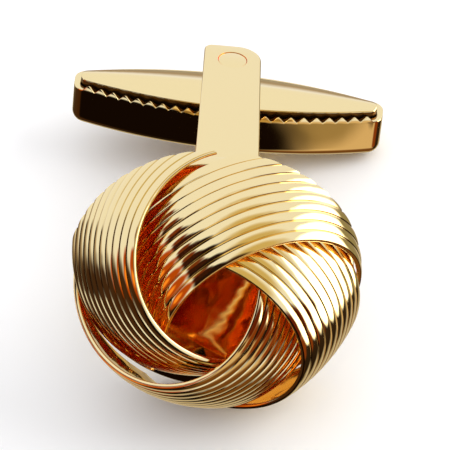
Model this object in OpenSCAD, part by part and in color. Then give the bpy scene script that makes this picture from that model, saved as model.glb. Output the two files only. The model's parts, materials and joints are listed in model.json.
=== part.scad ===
// Knot cufflink: a hollow knot of four ribbed ribbons on a back plate with a forked post,
// whose arms hold a boat-shaped swivel toggle. Millimetres.
// The construction frame has X to the right, Y from the knot to the toggle and Z square to the arms,
// with its origin on the toggle's pivot at the height of the toggle's rim. Every piece is then laid
// down in the pose in which the loose cufflink rests on a table.

/* [Knot] */
// Radius of a ribbon's outer face
ribbon_r = 7.4; // [7.2:0.1:7.6]
// Width of a ribbon
ribbon_w = 6.2; // [5.6:0.1:6.4]
// Thickness of a ribbon without its ribs
ribbon_t = 0.22; // [0.18:0.01:0.24]
// Height of the ribs
rib_h = 0.1; // [0.06:0.01:0.12]
// Number of ribs on a ribbon
rib_count = 10; // [6:1:12]
// Radius of the crown across a ribbon
crown_r = 14; // [12:0.5:18]
// Shift of each ribbon along its run, which makes it start low and end high
weave_shift = 1.35; // [1.25:0.05:1.5]
// Angle between the front of the weave and a ribbon's own axis
ribbon_lean = 36.2; // [35:0.1:38]
// Angle between a ribbon's own axis and the middle of its width
ribbon_mid = 78.4; // [77:0.1:80]
// Upward turn of the weave on the back plate
weave_pitch = 9; // [7:0.5:11]

/* [Post] */
// Distance from the toggle's pivot to the centre of the knot
knot_distance = 18; // [16.5:0.1:20]
// How far the front of the back plate lies before the centre of the knot
plate_forward = 0.6; // [0:0.1:1]
// Radius of the back plate
plate_r = 8.1; // [8:0.1:8.3]
// How far the middle of the back plate lies below the middle of the knot
plate_drop = 0.4; // [0.2:0.05:0.5]
// Thickness of the back plate
plate_t = 0.8; // [0.6:0.1:1.2]
// Width of the small flat on the back plate's rim, on which the loose cufflink stands
rim_flat_w = 2.6; // [1:0.2:4]
// Width of an arm at its free end
arm_tip_w = 3.6; // [3.2:0.1:4]
// Width of an arm at the back plate
arm_root_w = 4; // [4:0.1:5]
// Thickness of an arm
arm_t = 0.9; // [0.6:0.1:0.9]
// Height of the upper arm's outer face over the toggle's rim
arm_top = 2.7; // [2.6:0.1:3.4]
// Depth of the lower arm's outer face under the toggle's rim
arm_bottom = 3.8; // [3.8:0.1:4.2]
// Length of the arms past the pivot
arm_end = 1.7; // [1.6:0.1:2.6]
// Radius of the sharper corner at an arm's free end
tip_small_r = 0.5; // [0.3:0.1:1]
// Radius of the rounder corner at an arm's free end
tip_large_r = 1.5; // [1:0.1:1.7]

/* [Pivot] */
// Radius of the pin
pin_r = 0.9; // [0.6:0.05:1]
// Radius of the pin's shoulder over the toggle
shoulder_r = 1.3; // [1:0.1:1.5]
// Radial clearance of the pin in the toggle
pin_clearance = 0.06; // [0.04:0.01:0.1]

/* [Toggle] */
// Length of the toggle
toggle_l = 19.6; // [18:0.1:20]
// Width of the toggle at its middle
toggle_w = 5.3; // [5:0.1:5.6]
// Width of the toggle's blunt ends
toggle_end_w = 1.9; // [1.4:0.1:2.4]
// Depth of the cup under its rim
cup_h = 2.7; // [2.4:0.1:2.8]
// Thickness of the cup and the cover
shell_t = 0.4; // [0.3:0.05:0.5]
// Radius of the cup's lower edge
cup_edge_r = 0.8; // [0.5:0.1:1]
// Width of the cover at its middle
cover_w = 3.8; // [3.6:0.1:4.4]
// Width of the cover's blunt ends
cover_end_w = 1; // [0.8:0.1:1.1]
// Height of the cover's edge over the rim
cover_edge_h = 0.4; // [0.3:0.05:0.5]
// Height of the cover's ridge over the rim
ridge_h = 0.95; // [0.6:0.05:1.1]
// Depth of the cover's skirt inside the cup
skirt_h = 0.8; // [0.4:0.1:1.2]
// Spacing of the teeth along the rim on the knot's side
tooth_pitch = 0.82; // [0.7:0.02:1]
// Height of the teeth
tooth_h = 0.4; // [0.3:0.05:0.5]
// Turn of the toggle from square across the arms
toggle_turn = -2; // [-10:0.5:10]

/* [Resting pose] */
// Slope of the post down towards the toggle
rest_tilt = 14.5; // [0:0.1:20]
// Roll about the post that lays one end of the toggle down
rest_roll = 8; // [0:0.1:12]
// Place of the pivot over the point that the cufflink's box stands on
pivot_place = [0.17, 11.5, 4.16];

/* [Hidden] */
$fn = 96;

// One row for each ribbon: its name, the direction of its middle about the weave's front, the change
// to its lean, how far it runs back from its middle to its start and on to its end, and the number of
// ribs that it has more than the others, along its back edge.
RIBBONS = [
    ["left", 223, -4, 84, 140, 1],
    ["top", 136.4, 0.3, 68, 140, 0],
    ["right", 47.6, -7, 76, 140, 0],
    ["bottom", 324, 2, 60, 140, 0],
];
MIDDLE = 1;
LEAN = 2;
START = 3;
END = 4;
MORE = 5;

knot_centre = [-0.1, -knot_distance, -0.5];
plate_front = -knot_distance - plate_forward;
plate_back = plate_front + plate_t;
tail_gap = 0.03;
rivet_gap = 0.02;
big = 30;

// A point of the ribbon's section, at the distance s along its width and the height h over its sheet
function across(s, h) =
    let (a = s / crown_r * 180 / PI,
         out = crown_r * cos(a) + h - crown_r + ribbon_r,
         side = (crown_r + h) * sin(a))
    [out * sin(ribbon_mid) - side * cos(ribbon_mid),
     out * cos(ribbon_mid) + side * sin(ribbon_mid)];

rib_pitch = ribbon_w / rib_count;
rib_outline = [[-0.5, 0], [-0.36, 1], [0.36, 1]];

// The ribbon's section, with the number of ribs added along its back edge: ribs and grooves outside,
// a smooth face inside
function ribbon_section(more) =
    let (back = -ribbon_w / 2 - more * rib_pitch)
    concat(
        [for (i = [-more:rib_count - 1]) for (p = rib_outline)
            across((i + 0.5 + p[0]) * rib_pitch - ribbon_w / 2, (p[1] - 1) * rib_h)],
        [across(ribbon_w / 2, -rib_h)],
        [for (i = [7:-1:0]) across(back + i / 7 * (ribbon_w / 2 - back), -rib_h - ribbon_t)]);

// Lays a piece of the construction frame down in the resting pose
module resting() {
    translate(pivot_place) rotate([-rest_tilt, 0, 0]) rotate([0, rest_roll, 0]) children();
}

module ribbon(i) {
    row = RIBBONS[i];
    color("gold") resting() difference() {
        translate(knot_centre) rotate([90 - weave_pitch, 0, 0]) rotate([0, 0, row[MIDDLE]])
            translate([0, -weave_shift, 0]) rotate([0, -ribbon_lean - row[LEAN], 0])
            rotate([0, 0, -row[END]])
            rotate_extrude(angle = row[START] + row[END]) polygon(ribbon_section(row[MORE]));
        translate([-big, plate_front - tail_gap, -big]) cube(2 * big);
    }
}

// Points on an arc about a centre, from one angle to another
function arc(centre, r, from, to) =
    [for (i = [0:8]) let (a = from + (to - from) * i / 8) centre + r * [cos(a), sin(a)]];

// One arm, drawn flat with its underside at height 0, and the hole for the pin
module arm() {
    root = plate_back - 0.01;
    half = arm_tip_w / 2;
    difference() {
        linear_extrude(arm_t) polygon(concat(
            [[-arm_root_w / 2, root], [arm_root_w / 2, root], [half, 0]],
            arc([half - tip_large_r, arm_end - tip_large_r], tip_large_r, 0, 90),
            arc([tip_small_r - half, arm_end - tip_small_r], tip_small_r, 90, 180),
            [[-half, 0]]));
        translate([0, 0, -1]) cylinder(r = pin_r + rivet_gap, h = arm_t + 2);
    }
}

// The round plate that closes the knot, with a small flat on its rim where the cufflink stands
module back_plate() {
    flat_depth = sqrt(plate_r * plate_r - rim_flat_w * rim_flat_w / 4);
    translate([knot_centre[0], plate_back, knot_centre[2]]) rotate([0, -rest_roll, 0])
        translate([0, 0, -plate_drop]) difference() {
        rotate([90, 0, 0]) cylinder(r = plate_r, h = plate_t);
        translate([-plate_r, -plate_t - 1, -flat_depth - plate_r]) cube([2 * plate_r, plate_t + 2, plate_r]);
    }
}

// The back plate with the bent strip soldered to it: a web on the plate and two arms
module post() {
    color("gold") resting() union() {
        back_plate();
        translate([0, 0, arm_top - arm_t]) arm();
        translate([0, 0, -arm_bottom]) arm();
        translate([-arm_root_w / 2, plate_back - 0.01, -arm_bottom])
            cube([arm_root_w, arm_t + 0.01, arm_top + arm_bottom]);
    }
}

// The pin through both arms, with the shoulder that holds the toggle on the lower arm
module pivot_pin() {
    shoulder_z = ridge_h + 0.1;
    color("goldenrod") resting() union() {
        translate([0, 0, -arm_bottom]) cylinder(r = pin_r, h = arm_top + arm_bottom);
        translate([0, 0, shoulder_z]) cylinder(r = shoulder_r, h = arm_top - arm_t - shoulder_z - 0.05);
    }
}

// Radius of the two arcs that make the long sides of a boat shape, from its length and two widths
function side_radius(l, w, end_w) =
    let (sagitta = (w - end_w) / 2)
    (l * l / 4 + sagitta * sagitta) / (2 * sagitta);

side_r = side_radius(toggle_l, toggle_w, toggle_end_w);

// A great disc whose rim has the given section: points [distance inwards from the rim, height]
module disc(section, r) {
    bottom = section[0][1];
    top = section[len(section) - 1][1];
    rotate_extrude($fn = 180)
        polygon(concat([[0, top], [0, bottom]], [for (p = section) [r - p[0], p[1]]]));
}

// A boat shape: what two great discs share, with its ends cut square
module boat(section, l, w, r) {
    intersection() {
        translate([0, r - w / 2, 0]) disc(section, r);
        translate([0, w / 2 - r, 0]) disc(section, r);
        translate([-l / 2, -w, -big]) cube([l, 2 * w, 2 * big]);
    }
}

// A section from the bottom z0 with a rounded lower edge up to z1
function cup_section(z0, z1, r) = concat(
    [for (a = [0:18:90]) [r - r * sin(a), z0 + r - r * cos(a)]],
    [[0, z1]]);

module toggle_pose() {
    resting() rotate([0, 0, toggle_turn]) children();
}

// One tooth of the rim on the knot's side, at the distance s from the middle
module tooth(s) {
    translate([0, side_r - toggle_w / 2, 0]) rotate([0, 0, s / side_r * 180 / PI])
        translate([0, shell_t / 2 - side_r, 0]) rotate([90, 0, 0])
        linear_extrude(shell_t - 0.02, center = true)
        polygon([[-tooth_pitch / 2, -0.1], [tooth_pitch / 2, -0.1], [0, tooth_h]]);
}

module toggle_cup() {
    plain_end = 0.7;
    teeth = floor((toggle_l / 2 - plain_end) / tooth_pitch);
    color("gold") toggle_pose() difference() {
        union() {
            boat(cup_section(-cup_h, 0, cup_edge_r), toggle_l, toggle_w, side_r);
            for (i = [-teeth:teeth]) tooth(i * tooth_pitch);
        }
        boat(cup_section(-cup_h + shell_t, 1, cup_edge_r - shell_t),
             toggle_l - 2 * shell_t, toggle_w - 2 * shell_t, side_r - shell_t);
        translate([0, 0, -cup_h - 1]) cylinder(r = pin_r + pin_clearance, h = 3);
    }
}

// The ridged lid, whose ends fit between the ends of the cup and whose skirt reaches down inside it
module toggle_cover() {
    l = toggle_l - 2 * shell_t - 0.06;
    r = side_radius(l, cover_w, cover_end_w);
    lid = [[0, -skirt_h], [0, cover_edge_h - 0.08], [0.08, cover_edge_h], [cover_w / 2, ridge_h]];
    hollow = [[0, -skirt_h - 1], [0, cover_edge_h - shell_t], [cover_w / 2 - shell_t, ridge_h - shell_t]];
    color("khaki") toggle_pose() difference() {
        boat(lid, l, cover_w, r);
        boat(hollow, l - 2 * shell_t, cover_w - 2 * shell_t, r - shell_t);
        translate([0, 0, -2]) cylinder(r = pin_r + pin_clearance, h = 4);
    }
}

ribbon(0);  // ribbon_left
ribbon(1);  // ribbon_top
ribbon(2);  // ribbon_right
ribbon(3);  // ribbon_bottom
post();
pivot_pin();
toggle_cup();
toggle_cover();
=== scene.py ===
import json
import math

import bmesh
import bpy
from mathutils import Matrix, Vector


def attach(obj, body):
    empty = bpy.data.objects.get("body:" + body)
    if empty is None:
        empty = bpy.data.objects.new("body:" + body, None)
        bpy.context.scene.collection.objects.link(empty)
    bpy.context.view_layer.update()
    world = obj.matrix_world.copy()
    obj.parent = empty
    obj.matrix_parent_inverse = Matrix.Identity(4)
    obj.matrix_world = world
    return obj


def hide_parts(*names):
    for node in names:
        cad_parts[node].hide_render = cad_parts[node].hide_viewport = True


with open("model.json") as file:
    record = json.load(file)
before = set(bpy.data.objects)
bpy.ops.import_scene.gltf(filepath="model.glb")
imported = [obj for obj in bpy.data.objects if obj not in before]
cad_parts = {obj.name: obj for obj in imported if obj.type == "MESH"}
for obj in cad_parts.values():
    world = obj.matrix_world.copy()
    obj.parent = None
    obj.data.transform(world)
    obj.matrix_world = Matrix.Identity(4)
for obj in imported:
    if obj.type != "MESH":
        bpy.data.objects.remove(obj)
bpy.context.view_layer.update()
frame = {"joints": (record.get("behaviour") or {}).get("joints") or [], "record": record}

# Ribbons of the knot. Each is a strip of thin brass, rolled between grooved rollers that press ribs into its
# face, curved to part of a ring and gold-plated. The four are laid in a round weave: each starts under the
# one before it and ends over the next, and their ends are soldered to the back plate.
RIBBON_R = 7.4
RIBBON_W = 6.2
RIBBON_T = 0.22
RIB_H = 0.1
RIB_DOME = 0.045
RIB_COUNT = 10
RIB_CUTS = 9
WELD = 0.02
CROWN_R = 14
WEAVE_SHIFT = 1.35
RIBBON_LEAN = 36.2
RIBBON_MID = 78.4
WEAVE_PITCH = 9
KNOT_CENTRE = Vector((-0.1, -18, -0.5))
PLATE_FRONT = -18.6
TAIL_GAP = 0.03
CUT_LIMIT = 0.0001
RIBBON_STEP_DEG = 1.6
RIBBON_EDGE_R = 0.07
# Name, direction of its middle, change of lean, how far it runs back to its start and on to its end, all in
# degrees, and how many more ribs it has than the others, along its back edge
RIBBONS = [
    ("ribbon_left", 223, -4, 84, 140, 1),
    ("ribbon_top", 136.4, 0.3, 68, 140, 0),
    ("ribbon_right", 47.6, -7, 76, 140, 0),
    ("ribbon_bottom", 324, 2, 60, 140, 0),
]

swivel = frame["joints"][0]
to_toggle = Vector(frame["record"]["mounts"][0]["axis"])
up_from_arms = Vector(swivel["axis"])
across_arms = to_toggle.cross(up_from_arms)
# The frame that the pieces are drawn in, in millimetres: X across the arms, Y from the knot to the toggle, Z
# square to the arms, and its origin on the pivot. This matrix lays it down as the cufflink rests.
construction = Matrix.Translation(Vector(swivel["pos_m"])) @ Matrix(
    (across_arms, to_toggle, up_from_arms)).transposed().to_4x4() @ Matrix.Scale(0.001, 4)


def start(name, primitive, **settings):
    """Adds a primitive with nothing else selected, and opens it in edit mode."""
    bpy.ops.object.select_all(action="DESELECT")
    primitive(**settings)
    piece = bpy.context.object
    piece.name = name
    bpy.ops.object.mode_set(mode="EDIT")
    bpy.ops.mesh.select_mode(type="VERT")
    bpy.ops.mesh.select_all(action="SELECT")
    return piece


def choose(kind, test):
    """Selects, in edit mode, only the vertices, edges or faces that pass the test."""
    bpy.ops.mesh.select_mode(type=kind)
    bpy.ops.mesh.select_all(action="DESELECT")
    mesh = bmesh.from_edit_mesh(bpy.context.object.data)
    parts = {"VERT": mesh.verts, "EDGE": mesh.edges, "FACE": mesh.faces}[kind]
    mesh.normal_update()
    for part in parts:
        if test(part):
            part.select_set(True)
    mesh.select_flush_mode()
    bmesh.update_edit_mesh(bpy.context.object.data)


def middle(part):
    """The middle of an edge or face."""
    return sum((v.co for v in part.verts), Vector()) / len(part.verts)


def place(piece, matrix):
    """Leaves edit mode and moves the piece's own mesh by the matrix, with its object left at the origin."""
    bpy.ops.object.mode_set(mode="OBJECT")
    piece.matrix_world = matrix
    bpy.ops.object.transform_apply(location=True, rotation=True, scale=True)


def finish_piece(piece, smooth_angle, body, *nodes):
    """Lays the finished piece down, smooths it, hides the CAD nodes that it stands for, and gives it its
    body.
    """
    place(piece, construction)
    bpy.ops.object.shade_smooth_by_angle(angle=math.radians(smooth_angle))
    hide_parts(*nodes)
    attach(piece, body)


def linear(hex_colour):
    """An sRGB hex colour as linear red, green, blue and alpha."""
    values = [int(hex_colour[i:i + 2], 16) / 255 for i in (1, 3, 5)]
    return tuple(v / 12.92 if v <= 0.04045 else ((v + 0.055) / 1.055) ** 2.4 for v in values) + (1,)


def add_node(tree, kind, settings=None, **links):
    """Adds a node. Settings are its properties or input values, and links name the outputs it takes."""
    node = tree.nodes.new(kind)
    for name, value in (settings or {}).items():
        if name in node.inputs:
            node.inputs[name].default_value = value
        else:
            setattr(node, name, value)
    for name, output in links.items():
        tree.links.new(output, node.inputs[name.replace("_", " ")])
    return node


def gold_plate(name, colour, roughness, ripple_mm, ripple_depth_mm):
    """Gold plating over polished brass: a clear mirror of pale yellow. Shallow ripples make its reflections
    wander, and fine polishing scratches soften them in places."""
    scratch_mm = 0.05
    material = bpy.data.materials.new(name)
    material.use_nodes = True
    tree = material.node_tree
    shader = tree.nodes["Principled BSDF"]
    shader.inputs["Metallic"].default_value = 1
    shader.inputs["Base Color"].default_value = linear(colour)
    place_on_piece = add_node(tree, "ShaderNodeTexCoord").outputs["Object"]
    ripple = add_node(tree, "ShaderNodeTexNoise", {"Scale": 1000 / ripple_mm, "Detail": 1.0},
                      Vector=place_on_piece)
    scratch = add_node(tree, "ShaderNodeTexNoise", {"Scale": 1000 / scratch_mm, "Detail": 2.0},
                       Vector=place_on_piece)
    gloss = add_node(tree, "ShaderNodeMapRange", {"To Min": roughness * 0.6, "To Max": roughness * 1.4},
                     Value=scratch.outputs["Fac"])
    tree.links.new(gloss.outputs["Result"], shader.inputs["Roughness"])
    bump = add_node(tree, "ShaderNodeBump", {"Strength": 1.0, "Distance": ripple_depth_mm / 1000},
                    Height=ripple.outputs["Fac"])
    tree.links.new(bump.outputs["Normal"], shader.inputs["Normal"])
    return material


# The clearest mirror of all the pieces, with the deepest ripples, which break up its highlights
ribbon_gold = gold_plate("gold-plated rolled brass ribbon", "#FBDF9E", 0.05, 1.3, 0.03)

# One rib is a small plate, with half a groove on each side of its domed top. Repeated round the centre of the
# ribbon's crown it makes the whole section, whose corners are then rounded, as rolled edges are.
rib_pitch = RIBBON_W / RIB_COUNT
rib_turn = rib_pitch / CROWN_R
front_rib = -(RIB_COUNT - 1) / 2 * rib_turn
for name, direction, lean, back, on, more in RIBBONS:
    back_rib = (RIB_COUNT - 1 + 2 * more) / 2 * rib_turn
    ribbon = start(name + "_piece", bpy.ops.mesh.primitive_plane_add, size=1)
    bpy.ops.transform.resize(value=(rib_pitch, RIBBON_T, 1))
    choose("EDGE", lambda e: middle(e).y > 0.4 * RIBBON_T)
    bpy.ops.mesh.subdivide(number_cuts=RIB_CUTS)
    choose("VERT", lambda v: v.co.y > 0.4 * RIBBON_T and abs(v.co.x) < 0.45 * rib_pitch)
    bpy.ops.transform.translate(value=(0, RIB_H - RIB_DOME, 0))
    choose("VERT", lambda v: v.co.y > 0.4 * RIBBON_T and abs(v.co.x) < 0.01)
    bpy.ops.transform.translate(value=(0, RIB_DOME, 0), use_proportional_edit=True,
                                proportional_edit_falloff="INVERSE_SQUARE", proportional_size=rib_pitch / 2)
    place(ribbon, Matrix.Rotation(back_rib, 4, "Y")
          @ Matrix.Translation((0, 0, CROWN_R - RIB_H - RIBBON_T / 2)) @ Matrix.Rotation(math.pi / 2, 4, "X"))
    bpy.ops.object.mode_set(mode="EDIT")
    bpy.ops.mesh.select_all(action="SELECT")
    bpy.ops.mesh.spin(steps=RIB_COUNT - 1 + more, dupli=True, angle=back_rib - front_rib,
                      center=(0, 0, 0), axis=(0, 1, 0), use_auto_merge=False)
    bpy.ops.mesh.select_all(action="SELECT")
    bpy.ops.mesh.remove_doubles(threshold=WELD)
    bpy.ops.mesh.dissolve_faces()
    front_edge = front_rib - 0.48 * rib_turn
    back_edge = back_rib + 0.48 * rib_turn
    choose("VERT", lambda v: not front_edge < math.atan2(v.co.x, v.co.z) < back_edge)
    bpy.ops.mesh.bevel(offset=RIBBON_EDGE_R, segments=3, affect="VERTICES")
    mid = math.radians(RIBBON_MID)
    place(ribbon, Matrix.Rotation(mid, 4, "Y") @ Matrix.Translation((0, 0, RIBBON_R - CROWN_R)))
    bpy.ops.object.mode_set(mode="EDIT")
    bpy.ops.mesh.select_all(action="SELECT")
    bpy.ops.mesh.spin(steps=round((back + on) / RIBBON_STEP_DEG), angle=math.radians(back + on),
                      center=(0, 0, 0), axis=(0, 0, -1), use_auto_merge=False)
    place(ribbon, Matrix.Translation(KNOT_CENTRE) @ Matrix.Rotation(math.radians(90 - WEAVE_PITCH), 4, "X")
          @ Matrix.Rotation(math.radians(direction), 4, "Z") @ Matrix.Translation((0, -WEAVE_SHIFT, 0))
          @ Matrix.Rotation(math.radians(-RIBBON_LEAN - lean), 4, "Y")
          @ Matrix.Rotation(math.radians(-on), 4, "Z"))
    bpy.ops.object.mode_set(mode="EDIT")
    bpy.ops.mesh.select_all(action="SELECT")
    bpy.ops.mesh.bisect(plane_co=(0, PLATE_FRONT - TAIL_GAP, 0), plane_no=(0, 1, 0), use_fill=True,
                        clear_outer=True, threshold=CUT_LIMIT)
    bpy.ops.mesh.select_all(action="SELECT")
    bpy.ops.mesh.normals_make_consistent(inside=False)
    ribbon.data.materials.append(ribbon_gold)
    finish_piece(ribbon, 35, "knot_and_post", name)

# Post. A round brass plate closes the knot, with a small flat on its rim where the cufflink stands. A strip
# bent to a fork is soldered to it: a web on the plate and two arms, blanked with one sharper and one rounder
# corner at their free ends and drilled for the pin. It is gold-plated and buffed, which rounds its edges.
PLATE_R = 8.1
PLATE_T = 0.8
PLATE_DROP = 0.4
RIM_FLAT_W = 2.6
REST_ROLL = 8
ARM_ROOT_W = 4
ARM_TIP_W = 3.6
ARM_T = 0.9
ARM_TOP = 2.7
ARM_BOTTOM = -3.8
ARM_END = 1.7
BEND_R = 1.3
TIP_SMALL_R = 0.5
TIP_LARGE_R = 1.5
BUFFED_R = 0.14
BUFFED_SEGMENTS = 3
SHARP_DEG = 60
HOLE_R = 0.92
HOLE_EDGE_R = 0.05
WEB_SINK = 0.01
plate_back = PLATE_FRONT + PLATE_T


def bevel_sharp(piece, width, segments, angle):
    """Rounds every edge that is sharper than the angle in degrees, as buffing does."""
    bevel = piece.modifiers.new("buffed edges", "BEVEL")
    bevel.width = width
    bevel.segments = segments
    bevel.angle_limit = math.radians(angle)
    bpy.ops.object.modifier_apply(modifier=bevel.name)


def combine(piece, other, operation):
    """Cuts the other mesh out of the piece or melts it in, and removes the other."""
    bpy.ops.object.mode_set(mode="OBJECT")
    bpy.ops.object.select_all(action="DESELECT")
    piece.select_set(True)
    bpy.context.view_layer.objects.active = piece
    boolean = piece.modifiers.new("joint", "BOOLEAN")
    boolean.operation = operation
    boolean.solver = "EXACT"
    boolean.object = other
    bpy.ops.object.modifier_apply(modifier=boolean.name)
    bpy.data.objects.remove(other)


def drill(piece, radius, low, high):
    """Cuts a round hole along the pivot through the piece, between two heights."""
    bpy.ops.object.mode_set(mode="OBJECT")
    cutter = start("drill", bpy.ops.mesh.primitive_cylinder_add, vertices=64, radius=radius, depth=high - low,
                   location=(0, 0, (low + high) / 2))
    place(cutter, cutter.matrix_world.copy())
    combine(piece, cutter, "DIFFERENCE")


plate = start("back_plate", bpy.ops.mesh.primitive_cylinder_add, vertices=160, radius=PLATE_R, depth=PLATE_T)
bpy.ops.mesh.select_all(action="SELECT")
bpy.ops.mesh.bisect(plane_co=(0, -math.sqrt(PLATE_R ** 2 - RIM_FLAT_W ** 2 / 4), 0), plane_no=(0, -1, 0),
                    use_fill=True, clear_outer=True, threshold=CUT_LIMIT)
place(plate, Matrix.Translation((KNOT_CENTRE.x, PLATE_FRONT + PLATE_T / 2, KNOT_CENTRE.z))
      @ Matrix.Rotation(math.radians(-REST_ROLL), 4, "Y") @ Matrix.Translation((0, 0, -PLATE_DROP))
      @ Matrix.Rotation(math.pi / 2, 4, "X"))
bevel_sharp(plate, BUFFED_R, BUFFED_SEGMENTS, SHARP_DEG)

post = start("post_piece", bpy.ops.mesh.primitive_cube_add, size=1)
web_bottom = ARM_BOTTOM + BEND_R
web_top = ARM_TOP - BEND_R
bpy.ops.transform.resize(value=(ARM_ROOT_W, ARM_T + WEB_SINK, web_top - web_bottom))
bpy.ops.transform.translate(value=(0, plate_back + (ARM_T - WEB_SINK) / 2, (web_top + web_bottom) / 2))
for up, level in ((1, web_top), (-1, web_bottom)):
    arm_middle = level + up * (BEND_R - ARM_T / 2)
    choose("FACE", lambda f: f.normal.z * up > 0.9 and middle(f).y < plate_back + ARM_T)
    bpy.ops.mesh.spin(steps=6, angle=math.pi / 2, center=(0, plate_back + BEND_R, level),
                      axis=(up, 0, 0), use_auto_merge=False)
    choose("FACE", lambda f: f.normal.y > 0.9 and abs(middle(f).z - arm_middle) < 0.1)
    bpy.ops.mesh.extrude_region_move(TRANSFORM_OT_translate={"value": (0, -plate_back - BEND_R, 0)})
    bpy.ops.transform.resize(value=(ARM_TIP_W / ARM_ROOT_W, 1, 1), center_override=(0, 0, arm_middle))
    bpy.ops.mesh.extrude_region_move(TRANSFORM_OT_translate={"value": (0, ARM_END, 0)})
for side, radius, segments in ((-1, TIP_SMALL_R, 6), (1, TIP_LARGE_R, 12)):
    choose("EDGE", lambda e: abs(e.verts[0].co.z - e.verts[1].co.z) > 0.5 * ARM_T
           and middle(e).y > ARM_END - 0.01 and middle(e).x * side > 0)
    bpy.ops.mesh.bevel(offset=radius, segments=segments, affect="EDGES")
place(post, Matrix.Identity(4))
bevel_sharp(post, BUFFED_R, BUFFED_SEGMENTS, SHARP_DEG)
drill(post, HOLE_R, ARM_BOTTOM - 1, ARM_TOP + 1)
bpy.ops.object.mode_set(mode="EDIT")
choose("EDGE", lambda e: all(abs(math.hypot(v.co.x, v.co.y) - HOLE_R) < 0.01 for v in e.verts)
       and (abs(middle(e).z - ARM_TOP) < 0.001 or abs(middle(e).z - ARM_BOTTOM) < 0.001))
bpy.ops.mesh.bevel(offset=HOLE_EDGE_R, segments=2, affect="EDGES")
combine(post, plate, "UNION")
# Flat sheet, which mirrors calmly and a little more softly than the ribbons. The plate's front, inside the
# knot,
# is a redder, darker gold: painted shade and reflection for the dark red of the knot's hollow.
post.data.materials.append(gold_plate("gold-plated blanked brass", "#FBDF9E", 0.08, 3.0, 0.006))
post.data.materials.append(gold_plate("gold painted redder and darker as shade inside the knot", "#EBC488", 0.09, 1.6, 0.02))
bpy.ops.object.mode_set(mode="EDIT")
# The plate's front, inside the knot, gets the second material, whose redder, darker gold is painted shade
choose("FACE", lambda f: middle(f).y < PLATE_FRONT + 0.02 and f.normal.y < -0.9)
post.active_material_index = 1
bpy.ops.object.material_slot_assign()
finish_piece(post, 30, "knot_and_post", "post")

# Pivot pin. A turned brass pin goes through both arms and the toggle, and its ends are riveted flush and
# polished over, so that only a fine ring shows. A shoulder on it keeps the toggle down on the lower arm.
PIN_R = 0.9
SHOULDER_R = 1.3
SHOULDER_LOW = 1.05
SHOULDER_HIGH = 1.75
RIVET_EDGE_R = 0.08
SHOULDER_EDGE_R = 0.12

pin = start("pivot_pin_piece", bpy.ops.mesh.primitive_cylinder_add, vertices=64, radius=PIN_R,
            depth=SHOULDER_LOW - ARM_BOTTOM, location=(0, 0, (SHOULDER_LOW + ARM_BOTTOM) / 2))
place(pin, pin.matrix_world.copy())
bpy.ops.object.mode_set(mode="EDIT")
choose("FACE", lambda f: f.normal.z > 0.9)
for growth, rise in ((SHOULDER_R / PIN_R, SHOULDER_HIGH - SHOULDER_LOW),
                     (PIN_R / SHOULDER_R, ARM_TOP - SHOULDER_HIGH)):
    bpy.ops.mesh.extrude_region_move(TRANSFORM_OT_translate={"value": (0, 0, 0)})
    bpy.ops.transform.resize(value=(growth, growth, 1), center_override=(0, 0, 0))
    bpy.ops.mesh.extrude_region_move(TRANSFORM_OT_translate={"value": (0, 0, rise)})
choose("EDGE", lambda e: abs(middle(e).z - ARM_TOP) < 0.001 or abs(middle(e).z - ARM_BOTTOM) < 0.001)
bpy.ops.mesh.bevel(offset=RIVET_EDGE_R, segments=2, affect="EDGES")
choose("EDGE", lambda e: math.hypot(middle(e).x, middle(e).y) > SHOULDER_R - 0.01
       and abs(e.verts[0].co.z - e.verts[1].co.z) < 0.001)
bpy.ops.mesh.bevel(offset=SHOULDER_EDGE_R, segments=3, affect="EDGES")
# The shallowest ripples of all the pieces, so that the pin's reflections hardly waver
pin.data.materials.append(gold_plate("gold-plated turned brass", "#FBDF9E", 0.07, 1.5, 0.004))
finish_piece(pin, 30, "knot_and_post", "pivot_pin")

# Toggle cup. The lower shell of the toggle is pressed from thin brass sheet: a boat shape with a rounded
# lower edge. On the knot's side its rim is cut to a row of small teeth, and it is plain elsewhere.
TOGGLE_L = 19.6
TOGGLE_W = 5.3
TOGGLE_END_W = 1.9
TIP_CORNER_R = 0.85
CUP_H = 2.7
SHELL_T = 0.4
CUP_EDGE_R = 0.8
RIM_STEPS = 46
TEETH_EACH_SIDE = 11
TOOTH_H = 0.42
TOOTH_INNER_H = 0.2
TOOTH_ROOT = 0.1
PIN_CLEARANCE = 0.06
TOGGLE_TURN = -2
toggle_pose = Matrix.Rotation(math.radians(TOGGLE_TURN), 4, "Z")


def side_circle(length, width, end_width):
    """The radius of a boat shape's long sides, and how far their centres lie across its middle line."""
    narrowing = (width - end_width) / 2
    radius = (length ** 2 / 4 + narrowing ** 2) / (2 * narrowing)
    return radius, radius - width / 2


def draw_boat(name, length, width, end_width, corner, steps):
    """Draws a boat shape by spinning one vertex along two long arcs and round four corners, and fills it."""
    side_r, centre_y = side_circle(length, width, end_width)
    corner_x = length / 2 - corner
    corner_y = math.sqrt((side_r - corner) ** 2 - corner_x ** 2) - centre_y
    reach = math.asin(corner_x / (side_r - corner))
    boat = start(name, bpy.ops.mesh.primitive_plane_add, size=0.1)
    bpy.ops.mesh.merge(type="COLLAPSE")
    bpy.ops.transform.translate(value=(-side_r * math.sin(reach), centre_y - side_r * math.cos(reach), 0))

    def turn(x, y, angle, count):
        bpy.ops.mesh.spin(steps=count, angle=angle, center=(x, y, 0), axis=(0, 0, -1),
                          use_auto_merge=False)

    for side in (1, -1):
        turn(0, side * centre_y, 2 * reach, steps)
        turn(side * corner_x, -side * corner_y, math.pi / 2 - reach, 6)
        bpy.ops.mesh.extrude_region_move(TRANSFORM_OT_translate={"value": (0, side * 2 * corner_y, 0)})
        turn(side * corner_x, side * corner_y, math.pi / 2 - reach, 6)
    bpy.ops.mesh.select_all(action="SELECT")
    bpy.ops.mesh.remove_doubles(threshold=0.001)
    bpy.ops.mesh.edge_face_add()
    return boat


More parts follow.
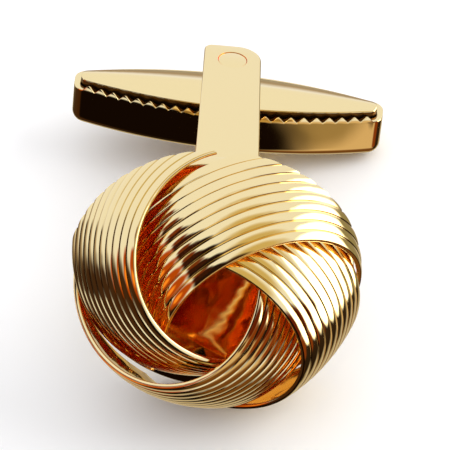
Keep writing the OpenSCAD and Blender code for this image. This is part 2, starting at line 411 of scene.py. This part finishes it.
cup = draw_boat("toggle_cup_piece", TOGGLE_L, TOGGLE_W, TOGGLE_END_W, TIP_CORNER_R, RIM_STEPS)
bpy.ops.mesh.extrude_region_move(TRANSFORM_OT_translate={"value": (0, 0, -CUP_H)})
bpy.ops.mesh.select_all(action="SELECT")
bpy.ops.mesh.normals_make_consistent(inside=False)
choose("EDGE", lambda e: e.verts[0].co.z < -CUP_H + 0.01 and e.verts[1].co.z < -CUP_H + 0.01)
bpy.ops.mesh.bevel(offset=CUP_EDGE_R, segments=6, affect="EDGES")
choose("FACE", lambda f: f.normal.z > 0.9)
bpy.ops.mesh.inset(thickness=SHELL_T, use_even_offset=True)
bpy.ops.mesh.extrude_region_move(TRANSFORM_OT_translate={"value": (0, 0, SHELL_T - CUP_H)})
choose("EDGE", lambda e: abs(middle(e).z - SHELL_T + CUP_H) < 0.01
       and abs(middle(e).z - e.verts[0].co.z) < 0.001
       and len(e.link_faces) == 2 and any(f.normal.z > 0.9 for f in e.link_faces))
bpy.ops.mesh.bevel(offset=CUP_EDGE_R - SHELL_T, segments=3, affect="EDGES")

rim_r, rim_centre = side_circle(TOGGLE_L, TOGGLE_W, TOGGLE_END_W)
rim_corner_x = TOGGLE_L / 2 - TIP_CORNER_R
half_tooth = 2 * math.asin(rim_corner_x / (rim_r - TIP_CORNER_R)) / RIM_STEPS


def is_tooth_tip(v):
    """Whether a tooth's tip goes to this vertex: every other one along the rim on the knot's side."""
    count = math.atan2(v.co.x, rim_centre - v.co.y) / half_tooth
    return (abs(v.co.z) < 0.001 and v.co.y < 0 and round(count) % 2 == 0 and abs(count - round(count)) < 0.2
            and abs(count) < 2 * TEETH_EACH_SIDE + 0.5
            and math.hypot(v.co.x, rim_centre - v.co.y) > rim_r - 0.6)


bpy.ops.mesh.select_all(action="SELECT")
bpy.ops.mesh.bisect(plane_co=(0, 0, -TOOTH_ROOT), plane_no=(0, 0, 1), threshold=CUT_LIMIT)
for inner, height in ((False, TOOTH_H), (True, TOOTH_INNER_H)):
    choose("VERT", lambda v: is_tooth_tip(v)
           and (math.hypot(v.co.x, rim_centre - v.co.y) < rim_r - SHELL_T / 2) == inner)
    bpy.ops.transform.translate(value=(0, 0, height))
place(cup, Matrix.Identity(4))
bevel_sharp(cup, 0.04, 2, 55)
drill(cup, PIN_R + PIN_CLEARANCE, -CUP_H - 1, -CUP_H + 1)
# Painted shade: brown, blotchy and half dull, so that the gap behind the teeth is dark
shade_brown = bpy.data.materials.new("dark brown painted shade behind the teeth")
shade_brown.use_nodes = True
shade_brown_shader = shade_brown.node_tree.nodes["Principled BSDF"]
shade_brown_shader.inputs["Metallic"].default_value = 1
mottle = add_node(shade_brown.node_tree, "ShaderNodeTexNoise", {"Scale": 1500, "Detail": 2.0},
                  Vector=add_node(shade_brown.node_tree, "ShaderNodeTexCoord").outputs["Object"])
shade_brown_blotches = add_node(shade_brown.node_tree, "ShaderNodeMix", {"data_type": "RGBA"})
shade_brown_blotches.inputs[6].default_value = linear("#3A2410")
shade_brown_blotches.inputs[7].default_value = linear("#7A5528")
shade_brown.node_tree.links.new(mottle.outputs["Fac"], shade_brown_blotches.inputs[0])
shade_brown.node_tree.links.new(shade_brown_blotches.outputs[2], shade_brown_shader.inputs["Base Color"])
shade_brown_shader.inputs["Roughness"].default_value = 0.35
# Ripples 2 mm long, which make the wall's long reflections wave a little
cup.data.materials.append(gold_plate("gold-plated pressed brass", "#FBDF9E", 0.06, 2.0, 0.012))
cup.data.materials.append(shade_brown)
bpy.ops.object.mode_set(mode="EDIT")
# The cup's inner wall below the teeth gets the dark brown painted shade
choose("FACE", lambda f: f.normal.xy.dot(middle(f).xy) < 0 and abs(f.normal.z) < 0.3
       and middle(f).z < -TOOTH_ROOT
       and math.hypot(middle(f).x, abs(middle(f).y) + rim_centre) < rim_r - SHELL_T / 2)
cup.active_material_index = 1
bpy.ops.object.material_slot_assign()
place(cup, toggle_pose)
finish_piece(cup, 35, "toggle", "toggle_cup")

# Toggle cover. The lid of the toggle is pressed from thin brass sheet to a low ridge along its middle, and
# its skirt goes down inside the cup's toothed rim. The pin comes up through a hole in its middle.
COVER_GAP = 0.03
COVER_L = TOGGLE_L - 2 * SHELL_T - 2 * COVER_GAP
COVER_W = 3.8
COVER_END_W = 1
COVER_CORNER_R = 0.46
COVER_EDGE_H = 0.4
RIDGE_H = 0.95
SKIRT_H = 0.8
RIDGE_SOFTNESS = 0.22

ridge_rise = RIDGE_H - COVER_EDGE_H
ridge_reach = COVER_L / 2 / math.sqrt(1 - COVER_END_W / COVER_W)


def crown(level):
    """Draws the chosen face, at the level given, in to a ridge along its middle that falls to both ends."""
    bpy.ops.mesh.extrude_region_move(TRANSFORM_OT_translate={"value": (0, 0, 0)})
    bpy.ops.transform.resize(value=(1, 0, 1), center_override=(0, 0, 0))
    choose("VERT", lambda v: abs(v.co.y) < 0.0001 and abs(v.co.z - level) < 0.001)
    bpy.ops.mesh.remove_doubles(threshold=0.001)
    bpy.ops.mesh.hide(unselected=True)
    choose("VERT", lambda v: abs(v.co.x) < 0.001 and abs(v.co.y) < 0.001 and abs(v.co.z - level) < 0.001)
    bpy.ops.transform.translate(value=(0, 0, ridge_rise), use_proportional_edit=True,
                                proportional_edit_falloff="INVERSE_SQUARE", proportional_size=ridge_reach)
    bpy.ops.mesh.reveal(select=False)


cover = draw_boat("toggle_cover_piece", COVER_L, COVER_W, COVER_END_W, COVER_CORNER_R, 32)
bpy.ops.transform.translate(value=(0, 0, -SKIRT_H))
bpy.ops.mesh.extrude_region_move(TRANSFORM_OT_translate={"value": (0, 0, SKIRT_H + COVER_EDGE_H)})
crown(COVER_EDGE_H)
bpy.ops.mesh.select_all(action="SELECT")
bpy.ops.mesh.normals_make_consistent(inside=False)
choose("EDGE", lambda e: all(abs(v.co.y) < 0.001 and v.co.z > COVER_EDGE_H + 0.01 for v in e.verts))
bpy.ops.mesh.bevel(offset=RIDGE_SOFTNESS, segments=4, affect="EDGES")
choose("FACE", lambda f: f.normal.z < -0.9)
bpy.ops.mesh.inset(thickness=SHELL_T, use_even_offset=True)
bpy.ops.mesh.extrude_region_move(TRANSFORM_OT_translate={"value": (0, 0, SKIRT_H)})
crown(0)
place(cover, Matrix.Identity(4))
bevel_sharp(cover, 0.06, 2, 50)
drill(cover, PIN_R + PIN_CLEARANCE, -2, 2)
# Ripples 3 mm long, which slowly bend the reflections in its broad faces. Its skirt behind the teeth gets the
# dark brown painted shade.
cover.data.materials.append(gold_plate("gold-plated embossed brass", "#FBDF9E", 0.07, 3.0, 0.02))
cover.data.materials.append(shade_brown)
bpy.ops.object.mode_set(mode="EDIT")
# The cover's skirt gets the dark brown painted shade
choose("FACE", lambda f: abs(f.normal.z) < 0.2 and middle(f).y < 0)
cover.active_material_index = 1
bpy.ops.object.material_slot_assign()
place(cover, toggle_pose)
finish_piece(cover, 35, "toggle", "toggle_cover")

# Floor, light and camera. The floor is plain matt white paper, which the metal does not mirror. The light is
# a studio dome with round screens, bright overhead for the floor, and a key lamp on the right that the metal
# does not mirror either. The floor's side and the places of the lamp and the camera are in metres.
FLOOR_SIDE = 2
DOME_STOPS = [(0.0, "#181008"), (0.2, "#30241A"), (0.32, "#A89884"), (0.4, "#E2EAFF"), (1.0, "#E2EAFF")]
# The screens that the metal mirrors, later ones over earlier ones: turn from straight behind towards the
# right, height, the angles at which each is full and gone, all in degrees, its colour and its brightness.
# Each comment says where the screens below it mainly show in the front view.
SCREENS = [
    # Pale: the knot's lower and right edges and the outline of the toggle
    (0, -60, 24, 38, "#B4A890", 1.0),
    # Browns: the left ribbon low on its outer side, and short streaks to the left of the opening
    (-104, -34, 20, 36, "#3C281A", 1.0),
    (-128, -22, 14, 26, "#3A2210", 1.0),
    # Tan: the right half of the toggle's wall, the bottom ribbon and the right ribbon's outer side
    (157, -30, 22, 36, "#C8B090", 1.0),
    # Brown: the lower part of the bottom ribbon
    (150, -64, 10, 24, "#6A4420", 1.0),
    # Olive and dark brown: a darker place in the right half of the toggle's wall, and a spot at its right end
    (164, -21, 5, 11, "#94805C", 1.0),
    (146, -21, 3, 8, "#4A3420", 1.0),
    # Black: the toggle's wall on both sides of the arm, and dark lines between the ribs
    (-158, -26, 24, 34, "#100804", 1.0),
    # Tan: the top ribbon and the right ribbon, near where they meet
    (140, 52, 12, 34, "#C0B080", 1.0),
    # Dark browns: streaks on the top ribbon by the opening, the left ribbon's outer side and the right ribbon
    (176, 36, 12, 26, "#3A2410", 1.0),
    (-152, 34, 16, 24, "#1E1008", 1.0),
    (-126, 36, 10, 17, "#30140A", 1.0),
    (-104, 38, 6, 12, "#6A3010", 1.0),
    # White: the broad highlight on the outer side of the top and right ribbons
    (82, -2, 30, 38, "#FFFFFF", 3.0),
    # Olive: the outermost edge of the same two ribbons
    (50, -28, 8, 20, "#8A8468", 1.0),
    # Orange: the ribs to the left of the opening, on the left and top ribbons
    (-119, 7, 14, 23, "#A84A10", 1.0),
    (-116, 2, 2, 10, "#F09030", 1.0),
    # Red-browns: the ribs below and to the right of the opening
    (128, -8, 10, 20, "#5A2008", 1.0),
    (121, -34, 8, 16, "#7A3A14", 1.0),
]

bpy.ops.object.select_all(action="DESELECT")
bpy.ops.mesh.primitive_plane_add(size=FLOOR_SIDE)
floor = bpy.context.object
floor.name = "floor"
floor_paint = bpy.data.materials.new("matt white paper")
floor_paint.use_nodes = True
floor_paint.node_tree.nodes["Principled BSDF"].inputs["Base Color"].default_value = linear("#F4F4F6")
floor_paint.node_tree.nodes["Principled BSDF"].inputs["Roughness"].default_value = 0.9
floor.data.materials.append(floor_paint)
floor.visible_glossy = False

# Many bounces are kept, because the ribbons mirror each other.
scene = bpy.context.scene
scene.view_settings.view_transform = "Standard"
scene.cycles.max_bounces = 24
scene.cycles.glossy_bounces = 24
scene.cycles.diffuse_bounces = 4

world = bpy.data.worlds.new("studio dome")
scene.world = world
world.use_nodes = True
dome = world.node_tree
direction = add_node(dome, "ShaderNodeTexCoord").outputs["Generated"]


def towards(turn, height):
    """How nearly a direction of the dome points the given way: 1 for that way and -1 for the opposite.
    The way is a turn from straight behind the cufflink towards the right, and a height, both in degrees."""
    turn, height = math.radians(turn), math.radians(height)
    node = add_node(dome, "ShaderNodeVectorMath", {"operation": "DOT_PRODUCT"}, Vector=direction)
    node.inputs[1].default_value = (math.sin(turn) * math.cos(height), math.cos(turn) * math.cos(height),
                                    math.sin(height))
    return node.outputs["Value"]


def screen(below, turn, height, inner, outer, colour, brightness):
    """Lays a round screen over the dome's colours so far, full within the inner angle, gone at the outer."""
    edge = add_node(dome, "ShaderNodeMapRange", {"From Min": math.cos(math.radians(outer)),
                                                 "From Max": math.cos(math.radians(inner)),
                                                 "interpolation_type": "SMOOTHSTEP"},
                    Value=towards(turn, height))
    node = add_node(dome, "ShaderNodeMix", {"data_type": "RGBA"})
    dome.links.new(edge.outputs["Result"], node.inputs[0])
    dome.links.new(below, node.inputs[6])
    node.inputs[7].default_value = [v * brightness for v in linear(colour)[:3]] + [1]
    return node.outputs[2]


ramp = add_node(dome, "ShaderNodeValToRGB")
share = add_node(dome, "ShaderNodeMapRange", {"From Min": -1.0, "From Max": 1.0}, Value=towards(0, 90))
dome.links.new(share.outputs["Result"], ramp.inputs["Fac"])
ramp.color_ramp.elements[0].position = DOME_STOPS[0][0]
ramp.color_ramp.elements[0].color = linear(DOME_STOPS[0][1])
ramp.color_ramp.elements[1].position = DOME_STOPS[-1][0]
ramp.color_ramp.elements[1].color = linear(DOME_STOPS[-1][1])
for position, colour in DOME_STOPS[1:-1]:
    ramp.color_ramp.elements.new(position).color = linear(colour)
mirrored = ramp.outputs["Color"]
for turn, height, inner, outer, colour, brightness in SCREENS:
    mirrored = screen(mirrored, turn, height, inner, outer, colour, brightness)
path = add_node(dome, "ShaderNodeLightPath")
seen = add_node(dome, "ShaderNodeMix", {"data_type": "RGBA"})
overhead = add_node(dome, "ShaderNodeMapRange", {"From Min": 0.1, "From Max": 0.8, "To Min": 0.05,
                                                 "To Max": 1.35, "interpolation_type": "SMOOTHSTEP"},
                    Value=towards(0, 90))
dome.links.new(path.outputs["Is Glossy Ray"], seen.inputs[0])
dome.links.new(overhead.outputs["Result"], seen.inputs[6])
dome.links.new(mirrored, seen.inputs[7])
dome.links.new(seen.outputs[2], dome.nodes["Background"].inputs["Color"])
strength = add_node(dome, "ShaderNodeMapRange", {"To Min": 1.0, "To Max": 1.2},
                    Value=path.outputs["Is Glossy Ray"])
dome.links.new(strength.outputs["Result"], dome.nodes["Background"].inputs["Strength"])

key_data = bpy.data.lights.new("key", "AREA")
key_data.shape = "DISK"
key_data.size = 0.35
key_data.energy = 1.0
key = bpy.data.objects.new("key", key_data)
scene.collection.objects.link(key)
key.location = (0.4, 0.02, 0.33)
key.visible_glossy = False
key.rotation_mode = "QUATERNION"
key.rotation_quaternion = (-Vector(key.location)).to_track_quat("-Z", "Y")

camera_data = bpy.data.cameras.new("camera")
camera = bpy.data.objects.new("camera", camera_data)
scene.collection.objects.link(camera)
scene.camera = camera
camera.location = (0.01256, -0.14579, 0.17278)
target = Vector((0.0003, -0.0015, 0.0067))
camera_up = Vector((0.0252, 0.76, 0.6494))
ahead = (target - camera.location).normalized()
right = ahead.cross(camera_up).normalized()
camera.matrix_world = Matrix.Translation(camera.location) @ Matrix(
    (right, right.cross(ahead), -ahead)).transposed().to_4x4()
camera_data.lens = 292
camera_data.clip_start = 0.01
